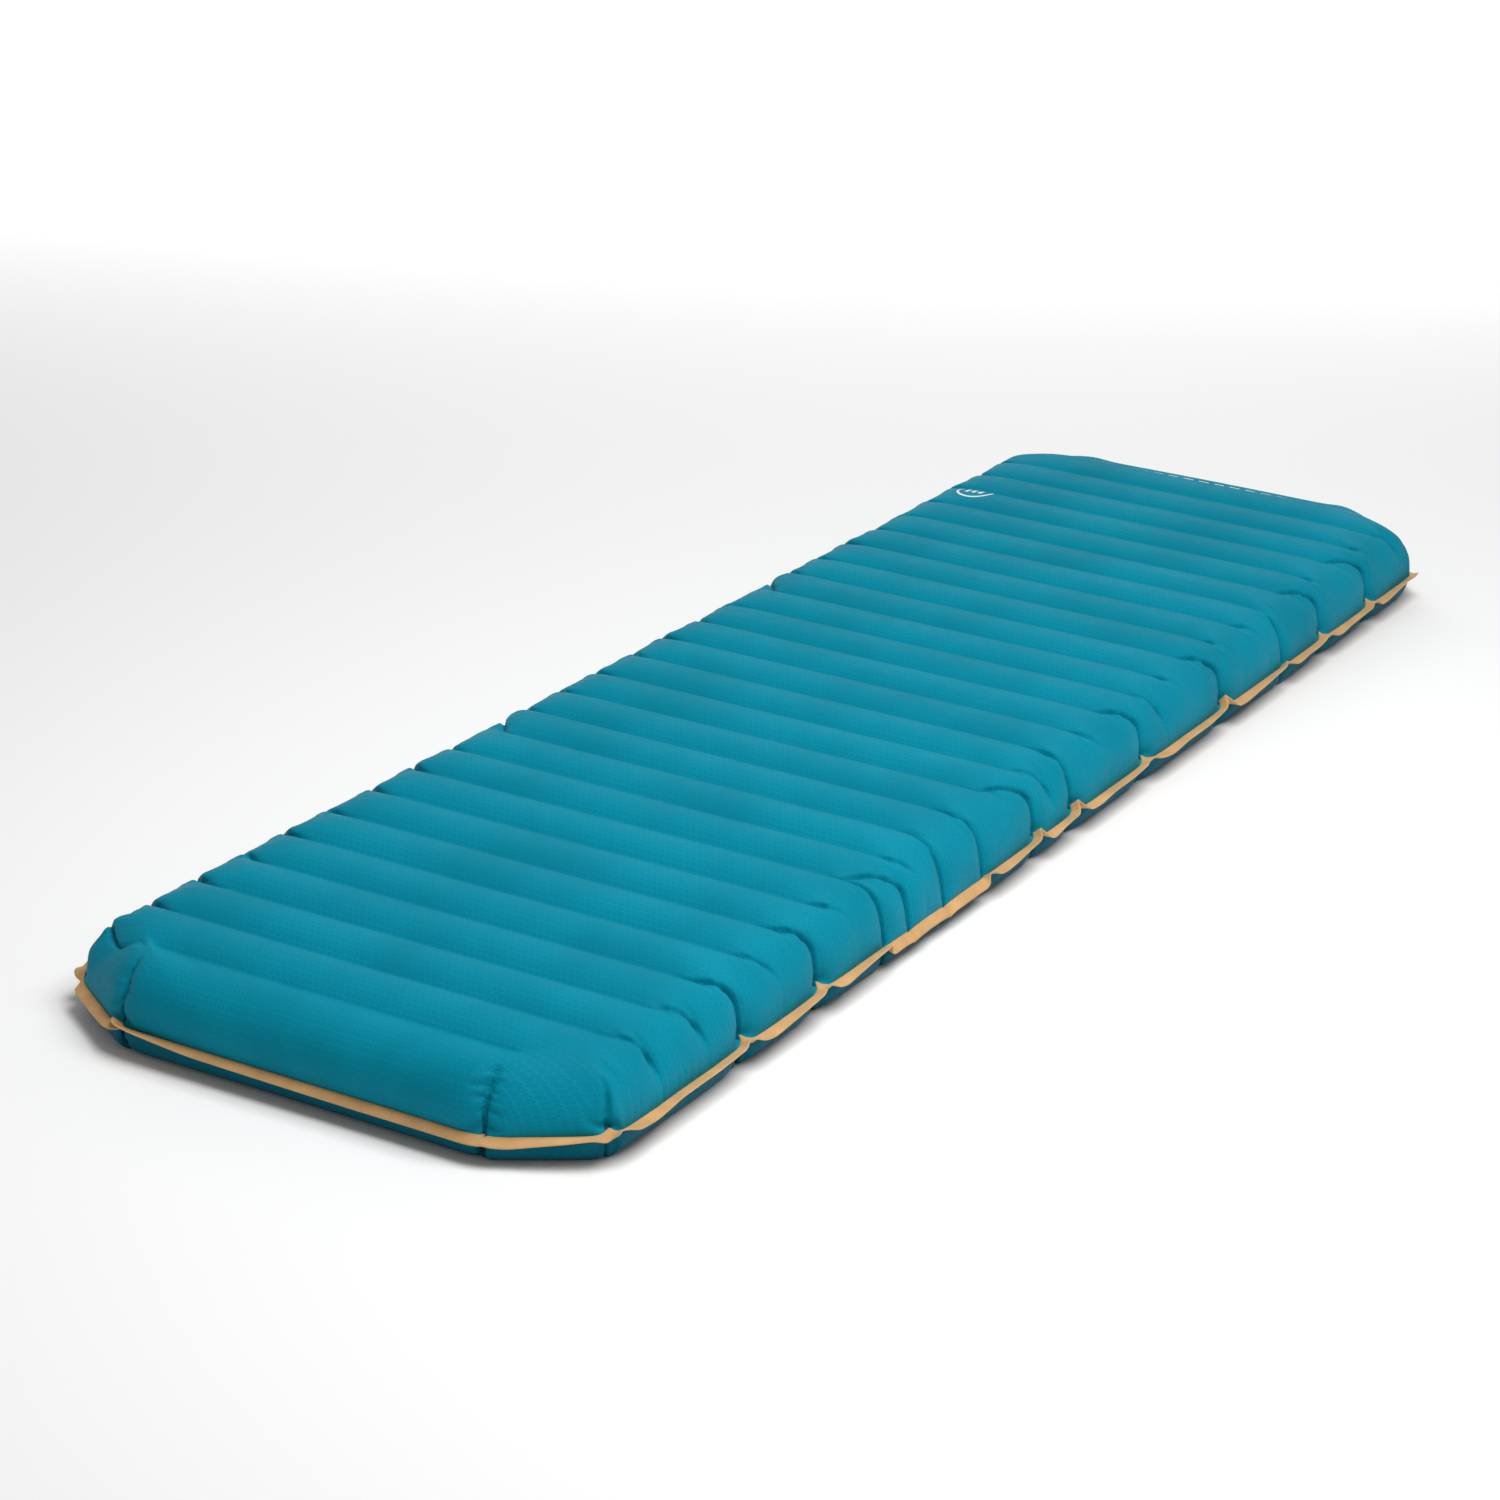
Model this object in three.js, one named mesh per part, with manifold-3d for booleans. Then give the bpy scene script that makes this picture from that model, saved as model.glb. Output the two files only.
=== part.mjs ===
// Inflatable sleeping pad: two wavy sheets over transverse webs, a flat seam tape and a corner valve.
// Millimetres, +Z up, +Y towards the head end. Origin: on the ground under the middle of the pad.
import * as THREE from 'three';
import { mergeVertices } from 'three/addons/utils/BufferGeometryUtils.js';
import Module from 'manifold-3d';

const wasm = await Module();
wasm.setup();

// ---- Driving dimensions ----
const GAP = 0.3; // clearance left between pieces that touch

// pad body
const TUBE_PITCH = 64;
const WEB_COUNT = 28;
const END_TUBE = 0.7 * TUBE_PITCH; // the two end tubes are narrower than the others
const HALF_LENGTH = ((WEB_COUNT - 1) * TUBE_PITCH) / 2 + END_TUBE; // to the seam
const HALF_WIDTH = 255; // to the seam
const CHAMFER_X = 82.6; // corner cut, across the pad
const CHAMFER_Y = 54.4; // corner cut, along the pad
const PAD_HEIGHT = 85;
const SEAM_HEIGHT = 24;
const SHEET_THICKNESS = 1;

// the upper sheet's rounding and valleys
const TOP_ROUND = 40; // horizontal reach of the rounded upper wall
const TOP_VALLEY = 9.5; // depth of the valley over each web
const TOP_INSETS = [0, 4, 15, 42, 70]; // grid lines beside each long side
const TOP_STEPS = [0, 0.2, 0.5, 0.8]; // grid lines along each tube, in pitches
const VALLEY_FADE = [42, 70]; // distance from the long side where a valley starts and is full

// the lower sheet's
const BOTTOM_ROUND = 24;
const BOTTOM_VALLEY = 8;
const BOTTOM_INSETS = [0, 3, 11, 24, 60];
const BOTTOM_STEPS = [0, 0.25, 0.75]; // each tube rests on the flat strip between the last two
const BOTTOM_FADE = [24, 60];

// seam tape that both sheets are welded to
const TAPE_OUT = 12; // width outside the seam
const TAPE_IN = 6; // width hidden between the sheets
const TAPE_THICKNESS = 2;

// internal webs, I-shaped in section
const WEB_THICKNESS = 0.8;
const WEB_FLANGE = 10; // width of the strip welded to each sheet
const WEB_END_GAP = 72; // from the long side's seam to the web's end: the air passes there

// corner valve, in its own frame: y outward from the seam, z up from the seam
const BOAT_SPAN = 0.44; // half the weld boat's length, as a part of the chamfer's length
const BOAT_BULGE = 16; // how far the boat lifts each sheet from the seam at its middle
const BOAT_INNER = -8;
const BOAT_OUTER = 12;
const BODY_RADIUS = 12;
const BORE_RADIUS = 10;
const COLLAR_RADIUS = 16;
const COLLAR_THICKNESS = 4;
const SEAL_RADIUS = 12.5; // the face seal's ring radius
const SEAL_WIRE = 0.9; // half the thickness of the face seal
const SEAL_SIDES = 6;
const SEAL_SUNK = 0.1; // how far the seal's top lies below the collar's face
const LID_RADIUS = 14.5;
const LID_THICKNESS = 3;
const LID_SKIRT = 5; // depth of the skirt around the flap
const SKIRT_RADIUS = 7.6;
const CHAMBER_RADIUS = 6.6;
const PORT_RADIUS = 5;
const SEAT_THICKNESS = 3.6; // wall between the flap and the lid's outer face
const FLAP_RADIUS = 6.1;
const FLAP_THICKNESS = 0.7;
const FLAP_HOLE = 1.2;
const RETAINER_RING = 1.2;
const RETAINER_THICKNESS = 1;
const RETAINER_PIN = 0.8;
const CAP_RADIUS = 8.5;
const CAP_THICKNESS = 2.1;
const PLUG_RADIUS = 4.6;
const PLUG_TIP_RADIUS = 3.9;
const PLUG_LENGTH = 3.7;
const GASKET_THICKNESS = 0.7;
const GASKET_RADII = [5.3, 7.8];
const TAB_LENGTH = 4.5; // pull tab below the lid and the cap
const ROUND_SEGMENTS = 24;
const SMALL_SEGMENTS = 12;
const CUT_MARGIN = 5; // how far a cutting tool runs past what it cuts
const JOIN = 1; // how far joined solids run into each other

// hinges: half width of the barrel, ear thickness, barrel and pin radius
const LID_HINGE = { y: 18, z: 18.5, half: 4.1, ear: 3, barrel: 2.2, pin: 1 };
const CAP_HINGE = { y: 21.9, z: 11.2, half: 2.2, ear: 2, barrel: 1.9, pin: 0.8 };

// ---- Materials ----
const FINISHES = {
  upper: { color: 0x1b8ba6, roughness: 0.55 },
  lower: { color: 0x0a6478, roughness: 0.65 },
  tape: { color: 0xd3a56e, roughness: 0.5 },
  web: { color: 0x9fb4b8, roughness: 0.7 },
  valve: { color: 0x23272a, roughness: 0.5 },
  lid: { color: 0x2f3538, roughness: 0.5 },
  seal: { color: 0x6d7274, roughness: 0.7 },
};

// A named piece with a material of its own.
function piece(name, geometry, finish) {
  const material = new THREE.MeshStandardMaterial({ ...FINISHES[finish], metalness: 0 });
  const mesh = new THREE.Mesh(geometry, material);
  mesh.name = name;
  return mesh;
}

// ---- Solids ----
function toSolid(geometry) {
  const plain = geometry.clone();
  plain.deleteAttribute('normal');
  plain.deleteAttribute('uv');
  const merged = mergeVertices(plain, 1e-4);
  const vertProperties = new Float32Array(merged.attributes.position.array);
  const triVerts = new Uint32Array(merged.index.array);
  return new wasm.Manifold(new wasm.Mesh({ numProp: 3, vertProperties, triVerts }));
}

function toGeometry(solid) {
  const mesh = solid.getMesh();
  const geometry = new THREE.BufferGeometry();
  geometry.setAttribute('position', new THREE.BufferAttribute(mesh.vertProperties, 3));
  geometry.setIndex(new THREE.BufferAttribute(mesh.triVerts, 1));
  geometry.computeVertexNormals();
  return geometry;
}

function join(first, ...others) {
  return toGeometry(others.reduce((solid, other) => solid.add(toSolid(other)), toSolid(first)));
}

function cut(first, ...tools) {
  return toGeometry(tools.reduce((solid, tool) => solid.subtract(toSolid(tool)), toSolid(first)));
}

// A box between two corners.
function block([x0, y0, z0], [x1, y1, z1]) {
  const geometry = new THREE.BoxGeometry(x1 - x0, y1 - y0, z1 - z0);
  return geometry.translate((x0 + x1) / 2, (y0 + y1) / 2, (z0 + z1) / 2);
}

// A body turned about the valve's axis (y), from the [radius, y] points of its closed profile.
function turned(profile, segments = ROUND_SEGMENTS) {
  const points = [...profile, profile[0]].map(([radius, y]) => new THREE.Vector2(radius, y));
  if (THREE.ShapeUtils.isClockWise(points)) points.reverse();
  return new THREE.LatheGeometry(points, segments);
}

// A cylinder along the valve's axis, from y0 to y1.
function axial(radius, y0, y1, segments = ROUND_SEGMENTS) {
  const geometry = new THREE.CylinderGeometry(radius, radius, y1 - y0, segments);
  return geometry.translate(0, (y0 + y1) / 2, 0);
}

// A cylinder across the valve, on a hinge's axis.
function crosswise(radius, half, hinge, segments = SMALL_SEGMENTS) {
  const geometry = new THREE.CylinderGeometry(radius, radius, 2 * half, segments);
  return geometry.rotateZ(Math.PI / 2).translate(0, hinge.y, hinge.z);
}

// ---- The pad's outline and surfaces ----
const CHAMFER_LENGTH = Math.hypot(CHAMFER_X, CHAMFER_Y);
const WEB_STATIONS = Array.from(
  { length: WEB_COUNT },
  (_, i) => (i - (WEB_COUNT - 1) / 2) * TUBE_PITCH,
);

function halfWidthAt(y) {
  const fromEnd = HALF_LENGTH - Math.abs(y);
  return HALF_WIDTH - CHAMFER_X * Math.max(0, 1 - fromEnd / CHAMFER_Y);
}

// Distance from a point inside the outline to the nearest chamfer line.
function chamferDistance(x, y) {
  const fromSide = HALF_WIDTH - Math.abs(x);
  const fromEnd = HALF_LENGTH - Math.abs(y);
  return (fromSide * CHAMFER_Y + fromEnd * CHAMFER_X - CHAMFER_X * CHAMFER_Y) / CHAMFER_LENGTH;
}

function seamDistance(x, y) {
  const toSide = HALF_WIDTH - Math.abs(x);
  const toEnd = HALF_LENGTH - Math.abs(y);
  return Math.max(0, Math.min(toSide, toEnd, chamferDistance(x, y)));
}

// Height of a rounded wall, from 0 at the seam to 1 where the rounding ends.
function wallRise(distance, reach) {
  return Math.sqrt(1 - Math.max(0, 1 - distance / reach) ** 2);
}

function fade(distance, [start, full]) {
  return THREE.MathUtils.clamp((distance - start) / (full - start), 0, 1);
}

function distanceToWeb(y) {
  return Math.min(...WEB_STATIONS.map((station) => Math.abs(y - station)));
}

// Valleys are sharp over the webs and the tubes are arched between them.
function archedValley(y) {
  const fromCrest = Math.max(0, 1 - (2 * distanceToWeb(y)) / TUBE_PITCH);
  return 1 - Math.sqrt(1 - fromCrest ** 2);
}

// Under the pad the tubes rest on flat strips, and rise only beside the webs.
function restingValley(y) {
  return Math.max(0, 1 - distanceToWeb(y) / (BOTTOM_STEPS[1] * TUBE_PITCH));
}

// The weld boat's bulge at a place along the chamfer, from -0.5 to 0.5 of its length.
function boatBulge(place) {
  const turn = Math.min(1, Math.abs(place) / BOAT_SPAN);
  return BOAT_BULGE * Math.cos((turn * Math.PI) / 2) ** 2;
}

// How far the seam opens around the boat, near the head end's left corner only.
function seamOpening(x, y) {
  if (x > 0 || y < 0) return 0;
  const alongX = HALF_WIDTH + x - CHAMFER_X / 2;
  const alongY = y - HALF_LENGTH + CHAMFER_Y / 2;
  const place = (alongX * CHAMFER_X + alongY * CHAMFER_Y) / CHAMFER_LENGTH ** 2;
  const nearness = Math.max(0, 1 - Math.max(0, chamferDistance(x, y)) / BOTTOM_ROUND);
  return boatBulge(place) * nearness;
}

const RIM_OFFSET = TAPE_THICKNESS / 2 + GAP;

function topHeight(x, y) {
  const rim = SEAM_HEIGHT + RIM_OFFSET + seamOpening(x, y);
  const depth = TOP_VALLEY * archedValley(y) * fade(halfWidthAt(y) - Math.abs(x), VALLEY_FADE);
  return rim + (PAD_HEIGHT - depth - rim) * wallRise(seamDistance(x, y), TOP_ROUND);
}

function bottomHeight(x, y) {
  const rim = SEAM_HEIGHT - RIM_OFFSET - seamOpening(x, y);
  const lift = BOTTOM_VALLEY * restingValley(y) * fade(halfWidthAt(y) - Math.abs(x), BOTTOM_FADE);
  return rim + (lift - rim) * wallRise(seamDistance(x, y), BOTTOM_ROUND);
}

// Places along the chamfer where the grid has a line, as parts of its length.
const VALLEY_PLACE = END_TUBE / CHAMFER_Y;
const CHAMFER_PLACES = [0, 0.06, 1 - VALLEY_PLACE, 0.34, 0.5, 0.66, VALLEY_PLACE, 0.94, 1];

// Grid lines along the pad: close together over the chamfers, then a few for each tube.
function rowStations(steps) {
  const clear = HALF_LENGTH - CHAMFER_Y - BOTTOM_INSETS[1];
  const inner = WEB_STATIONS.flatMap((station) => steps.map((step) => station + step * TUBE_PITCH));
  const middle = inner.filter((y) => Math.abs(y) < clear);
  const end = CHAMFER_PLACES.map((place) => HALF_LENGTH - place * CHAMFER_Y);
  return [...end.map((y) => -y), ...middle, ...end.reverse()];
}

function gridPoints(steps, insets, height) {
  return rowStations(steps).map((y) => {
    const left = insets.map((inset) => inset - halfWidthAt(y));
    const right = insets.map((inset) => halfWidthAt(y) - inset).reverse();
    return [...left, ...right].map((x) => new THREE.Vector3(x, y, height(x, y)));
  });
}

// The step inward from a point on the outline, square to the side or to both sides it lies on.
function inwardStep({ x, y }) {
  const onLine = SHEET_THICKNESS / 10;
  const [towardX, towardY] = [-Math.sign(x), -Math.sign(y)];
  const sides = [];
  if (HALF_WIDTH - Math.abs(x) < onLine) sides.push(new THREE.Vector3(towardX, 0, 0));
  if (HALF_LENGTH - Math.abs(y) < onLine) sides.push(new THREE.Vector3(0, towardY, 0));
  if (chamferDistance(x, y) < onLine) {
    sides.push(new THREE.Vector3(towardX * CHAMFER_Y, towardY * CHAMFER_X, 0).normalize());
  }
  const [first, second = first] = sides;
  return first.clone().add(second).divideScalar(1 + first.dot(second));
}

// Rim points move inward by the sheet's thickness, the others against the surface normal.
function innerPoint(grid, i, j, side) {
  const point = grid[i][j];
  const onRim = i === 0 || j === 0 || i === grid.length - 1 || j === grid[0].length - 1;
  if (onRim) return point.clone().addScaledVector(inwardStep(point), SHEET_THICKNESS);
  const across = grid[i][j + 1].clone().sub(grid[i][j - 1]);
  const along = grid[i + 1][j].clone().sub(grid[i - 1][j]);
  const normal = across.cross(along).normalize();
  return point.clone().addScaledVector(normal, -side * SHEET_THICKNESS);
}

// The grid's border as one loop of [row, column], counterclockwise from above.
function borderLoop(rows, columns) {
  const loop = [];
  for (let j = 0; j < columns; j++) loop.push([0, j]);
  for (let i = 0; i < rows; i++) loop.push([i, columns]);
  for (let j = columns; j > 0; j--) loop.push([rows, j]);
  for (let i = rows; i > 0; i--) loop.push([i, 0]);
  return loop;
}

// A closed thin shell: outer skin, inner skin and the narrow face around the rim.
// side is 1 for the upper sheet, whose outer skin looks up, and -1 for the lower one.
function sheetGeometry(grid, side) {
  const rows = grid.length - 1;
  const columns = grid[0].length - 1;
  const inner = grid.map((row, i) => row.map((_, j) => innerPoint(grid, i, j, side)));
  const positions = [...grid.flat(), ...inner.flat()].flatMap((p) => p.toArray());
  const innerStart = (rows + 1) * (columns + 1);
  const index = [];
  const outerAt = (i, j) => i * (columns + 1) + j;
  const innerAt = (i, j) => innerStart + outerAt(i, j);
  const quad = (a, b, c, d, turn) => {
    if (turn > 0) index.push(a, b, c, a, c, d);
    else index.push(a, c, b, a, d, c);
  };
  for (let i = 0; i < rows; i++) {
    for (let j = 0; j < columns; j++) {
      quad(outerAt(i, j), outerAt(i, j + 1), outerAt(i + 1, j + 1), outerAt(i + 1, j), side);
      quad(innerAt(i, j), innerAt(i, j + 1), innerAt(i + 1, j + 1), innerAt(i + 1, j), -side);
    }
  }
  const loop = borderLoop(rows, columns);
  loop.forEach(([i, j], k) => {
    const [ni, nj] = loop[(k + 1) % loop.length];
    quad(innerAt(i, j), innerAt(ni, nj), outerAt(ni, nj), outerAt(i, j), side);
  });
  const geometry = new THREE.BufferGeometry();
  geometry.setAttribute('position', new THREE.Float32BufferAttribute(positions, 3));
  geometry.setIndex(index);
  geometry.computeVertexNormals();
  return geometry;
}

// ---- Pieces of the pad ----
function upperSheet() {
  const grid = gridPoints(TOP_STEPS, TOP_INSETS, topHeight);
  return piece('top_sheet', sheetGeometry(grid, 1), 'upper');
}

function lowerSheet() {
  const grid = gridPoints(BOTTOM_STEPS, BOTTOM_INSETS, bottomHeight);
  return piece('bottom_sheet', sheetGeometry(grid, -1), 'lower');
}

// The octagonal outline, counterclockwise, moved outward by an offset. Moved sides meet in corners.
function outline(offset) {
  const slope = CHAMFER_Y / CHAMFER_X;
  const halfLength = HALF_LENGTH + offset;
  const halfWidth = HALF_WIDTH + offset;
  const endCorner = HALF_WIDTH - CHAMFER_X + offset * (Math.hypot(1, slope) - 1) / slope;
  const sideCorner = HALF_LENGTH - CHAMFER_Y + offset * (Math.hypot(1, slope) - slope);
  return [
    [-endCorner, halfLength],
    [-halfWidth, sideCorner],
    [-halfWidth, -sideCorner],
    [-endCorner, -halfLength],
    [endCorner, -halfLength],
    [halfWidth, -sideCorner],
    [halfWidth, sideCorner],
    [endCorner, halfLength],
  ].map(([x, y]) => new THREE.Vector2(x, y));
}

// A flat ring, open only where the valve's weld boat takes its place.
function seamTape() {
  const ring = new THREE.Shape(outline(TAPE_OUT));
  ring.holes.push(new THREE.Path(outline(-TAPE_IN)));
  const flat = new THREE.ExtrudeGeometry(ring, { depth: TAPE_THICKNESS, bevelEnabled: false });
  flat.translate(0, 0, SEAM_HEIGHT - TAPE_THICKNESS / 2);
  const reach = BOAT_SPAN * CHAMFER_LENGTH + GAP;
  const gate = block(
    [-reach, -TAPE_IN - CUT_MARGIN, -TAPE_THICKNESS],
    [reach, TAPE_OUT + CUT_MARGIN, TAPE_THICKNESS],
  );
  gate.rotateZ(VALVE_TURN).translate(...VALVE_PLACE.toArray());
  return piece('seam_tape', cut(flat, gate), 'tape');
}

// One web: an I-section run across the pad, its strips under the two sheets' valleys.
function web(station, number) {
  const low = BOTTOM_VALLEY + SHEET_THICKNESS + GAP;
  const high = PAD_HEIGHT - TOP_VALLEY - SHEET_THICKNESS - GAP;
  const [strip, thin] = [WEB_FLANGE / 2, WEB_THICKNESS / 2];
  const section = new THREE.Shape([
    new THREE.Vector2(-strip, low),
    new THREE.Vector2(strip, low),
    new THREE.Vector2(strip, low + WEB_THICKNESS),
    new THREE.Vector2(thin, low + WEB_THICKNESS),
    new THREE.Vector2(thin, high - WEB_THICKNESS),
    new THREE.Vector2(strip, high - WEB_THICKNESS),
    new THREE.Vector2(strip, high),
    new THREE.Vector2(-strip, high),
    new THREE.Vector2(-strip, high - WEB_THICKNESS),
    new THREE.Vector2(-thin, high - WEB_THICKNESS),
    new THREE.Vector2(-thin, low + WEB_THICKNESS),
    new THREE.Vector2(-strip, low + WEB_THICKNESS),
  ]);
  const length = 2 * (HALF_WIDTH - WEB_END_GAP);
  const geometry = new THREE.ExtrudeGeometry(section, { depth: length, bevelEnabled: false });
  geometry.rotateX(Math.PI / 2).rotateZ(Math.PI / 2).translate(-length / 2, 0, 0);
  const mesh = piece(`baffle_web_${String(number).padStart(2, '0')}`, geometry, 'web');
  mesh.position.y = station;
  return mesh;
}

// ---- The valve ----
const VALVE_TURN = Math.atan2(CHAMFER_Y, CHAMFER_X);
const VALVE_PLACE = new THREE.Vector3(
  CHAMFER_X / 2 - HALF_WIDTH,
  HALF_LENGTH - CHAMFER_Y / 2,
  SEAM_HEIGHT,
);
const COLLAR_BACK = BOAT_OUTER + GAP;
const COLLAR_FACE = COLLAR_BACK + COLLAR_THICKNESS;
const LID_BACK = COLLAR_FACE + GAP;
const LID_FACE = LID_BACK + LID_THICKNESS;
const SKIRT_END = LID_BACK - LID_SKIRT;
const SEAT = LID_FACE - SEAT_THICKNESS;
const GASKET_BACK = LID_FACE + GAP;
const CAP_BACK = GASKET_BACK + GASKET_THICKNESS + GAP;
const CAP_FACE = CAP_BACK + CAP_THICKNESS;

// The lens-shaped block that closes the seam around the valve.
function weldBoat() {
  const places = CHAMFER_PLACES.filter((place) => Math.abs(place - 0.5) <= BOAT_SPAN);
  const upper = places.map((place) => [
    (place - 0.5) * CHAMFER_LENGTH,
    boatBulge(place - 0.5) + TAPE_THICKNESS / 2,
  ]);
  const lower = upper.map(([x, z]) => [x, -z]).reverse();
  const section = new THREE.Shape([...lower, ...upper].map(([x, z]) => new THREE.Vector2(x, z)));
  const depth = BOAT_OUTER - BOAT_INNER;
  const boat = new THREE.ExtrudeGeometry(section, { depth, bevelEnabled: false });
  boat.rotateX(Math.PI / 2).translate(0, BOAT_OUTER, 0);
  const bore = axial(BODY_RADIUS + GAP, BOAT_INNER - CUT_MARGIN, BOAT_OUTER + CUT_MARGIN);
  return piece('valve_weld_boat', cut(boat, bore), 'valve');
}

// Two ears beside a hinge barrel, reaching back to y = root. The lid's ears start above z = low.
function ears(hinge, root, low) {
  const inner = hinge.half + GAP;
  const outer = inner + hinge.ear;
  const bores = crosswise(hinge.pin + GAP, outer + CUT_MARGIN, hinge);
  return [-1, 1].map((side) => {
    const [x0, x1] = side < 0 ? [-outer, -inner] : [inner, outer];
    const foot = block([x0, root, low], [x1, hinge.y + hinge.barrel, hinge.z + hinge.barrel]);
    return cut(foot, bores);
  });
}

function pin(name, hinge) {
  return piece(name, crosswise(hinge.pin, hinge.half + GAP + hinge.ear, hinge), 'seal');
}

// Tube through the boat, with the collar, the seal's groove and the lid's hinge ears.
function valveBody() {
  const groove = SEAL_WIRE + GAP;
  const grooveFloor = COLLAR_FACE - 2 * groove;
  const tube = turned([
    [BORE_RADIUS, BOAT_INNER],
    [BORE_RADIUS, COLLAR_FACE],
    [SEAL_RADIUS - groove, COLLAR_FACE],
    [SEAL_RADIUS - groove, grooveFloor],
    [SEAL_RADIUS + groove, grooveFloor],
    [SEAL_RADIUS + groove, COLLAR_FACE],
    [COLLAR_RADIUS, COLLAR_FACE],
    [COLLAR_RADIUS, COLLAR_BACK],
    [BODY_RADIUS, COLLAR_BACK],
    [BODY_RADIUS, BOAT_INNER],
  ]);
  const { half, ear } = LID_HINGE;
  const inner = half + GAP;
  const webbing = [-1, 1].map((side) => {
    const [x0, x1] = side < 0 ? [-inner - ear, -inner] : [inner, inner + ear];
    return block([x0, COLLAR_BACK, SEAL_RADIUS + groove], [x1, COLLAR_FACE, COLLAR_RADIUS]);
  });
  const geometry = join(tube, ...webbing, ...ears(LID_HINGE, COLLAR_BACK, LID_RADIUS + GAP));
  return piece('valve_body', geometry, 'valve');
}

function ringSeal() {
  const centre = COLLAR_FACE - SEAL_WIRE - SEAL_SUNK;
  const geometry = new THREE.TorusGeometry(SEAL_RADIUS, SEAL_WIRE, SEAL_SIDES, ROUND_SEGMENTS);
  geometry.rotateX(Math.PI / 2).translate(0, centre, 0);
  return piece('lid_seal_ring', geometry, 'seal');
}

// A flat pull tab that hangs from a disc's lower edge.
function tab(halfWidth, radius, back, face) {
  return block([-halfWidth, back, -radius - TAB_LENGTH], [halfWidth, face, JOIN - radius]);
}

// The large lid: opened, it lets the air out. The filling port and its flap chamber are in it.
function deflateLid() {
  const disc = turned([
    [PORT_RADIUS, SEAT],
    [PORT_RADIUS, LID_FACE],
    [LID_RADIUS, LID_FACE],
    [LID_RADIUS, LID_BACK],
    [SKIRT_RADIUS, LID_BACK],
    [SKIRT_RADIUS, SKIRT_END],
    [CHAMBER_RADIUS, SKIRT_END],
    [CHAMBER_RADIUS, SEAT],
  ]);
  const { half, z, barrel, pin: pinRadius } = LID_HINGE;
  const strap = block([-half, LID_BACK, LID_RADIUS - JOIN], [half, LID_FACE, z]);
  const lidTab = tab(half, LID_RADIUS, LID_BACK + GAP, LID_FACE - GAP);
  const solid = join(disc, strap, crosswise(barrel, half, LID_HINGE), lidTab);
  const bored = cut(solid, crosswise(pinRadius + GAP, half + CUT_MARGIN, LID_HINGE));
  const capEars = ears(CAP_HINGE, LID_FACE - JOIN, CAP_RADIUS + JOIN);
  return piece('deflate_lid', join(bored, ...capEars), 'lid');
}

// Thin disc that the pad's own pressure holds against the port's seat.
function nonReturnFlap() {
  const front = SEAT - GAP;
  const profile = [
    [FLAP_HOLE, front - FLAP_THICKNESS],
    [FLAP_HOLE, front],
    [FLAP_RADIUS, front],
    [FLAP_RADIUS, front - FLAP_THICKNESS],
  ];
  return piece('non_return_flap', turned(profile), 'seal');
}

// Ring and cross in the skirt's mouth, with the pin that guides the flap.
function flapRetainer() {
  const outer = CHAMBER_RADIUS - GAP;
  const inner = outer - RETAINER_RING;
  const back = SKIRT_END + GAP;
  const face = back + RETAINER_THICKNESS;
  const ring = turned([[inner, back], [inner, face], [outer, face], [outer, back]]);
  const arm = RETAINER_PIN;
  const bars = [
    block([-inner - arm / 2, back, -arm], [inner + arm / 2, face, arm]),
    block([-arm, back, -inner - arm / 2], [arm, face, inner + arm / 2]),
  ];
  const guide = axial(RETAINER_PIN, back, SEAT, SMALL_SEGMENTS);
  return piece('flap_retainer', join(ring, ...bars, guide), 'lid');
}

// The small cap with a tapered plug that closes the filling port.
function inflateCap() {
  const tip = CAP_BACK - PLUG_LENGTH;
  const disc = turned([
    [0, tip],
    [0, CAP_FACE],
    [CAP_RADIUS, CAP_FACE],
    [CAP_RADIUS, CAP_BACK],
    [PLUG_RADIUS, CAP_BACK],
    [PLUG_TIP_RADIUS, tip],
  ]);
  const { half, z, barrel, pin: pinRadius } = CAP_HINGE;
  const strap = block([-half, CAP_BACK, CAP_RADIUS - JOIN], [half, CAP_FACE, z]);
  const capTab = tab(half, CAP_RADIUS, CAP_BACK + GAP, CAP_FACE - GAP);
  const solid = join(disc, strap, crosswise(barrel, half, CAP_HINGE), capTab);
  const bored = cut(solid, crosswise(pinRadius + GAP, half + CUT_MARGIN, CAP_HINGE));
  return piece('inflate_cap', bored, 'lid');
}

function capGasket() {
  const [inner, outer] = GASKET_RADII;
  const face = GASKET_BACK + GASKET_THICKNESS;
  const profile = [[inner, GASKET_BACK], [inner, face], [outer, face], [outer, GASKET_BACK]];
  return piece('cap_gasket', turned(profile), 'seal');
}

function valve() {
  const group = new THREE.Group();
  group.position.copy(VALVE_PLACE);
  group.rotation.z = VALVE_TURN;
  group.add(weldBoat(), valveBody(), ringSeal(), pin('lid_hinge_pin', LID_HINGE));
  group.add(deflateLid(), nonReturnFlap(), flapRetainer(), pin('cap_hinge_pin', CAP_HINGE));
  group.add(inflateCap(), capGasket());
  return group;
}

// ---- Assembly ----
function sleepingPad() {
  const pad = new THREE.Group();
  pad.add(upperSheet(), lowerSheet(), seamTape());
  WEB_STATIONS.forEach((station, i) => pad.add(web(station, i + 1)));
  pad.add(valve());
  return pad;
}

export default sleepingPad();
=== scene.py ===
"""Looks of the inflatable sleeping pad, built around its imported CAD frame. Metres, +Z up."""
import math

import bpy
import numpy as np
from mathutils import Matrix, Vector


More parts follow.
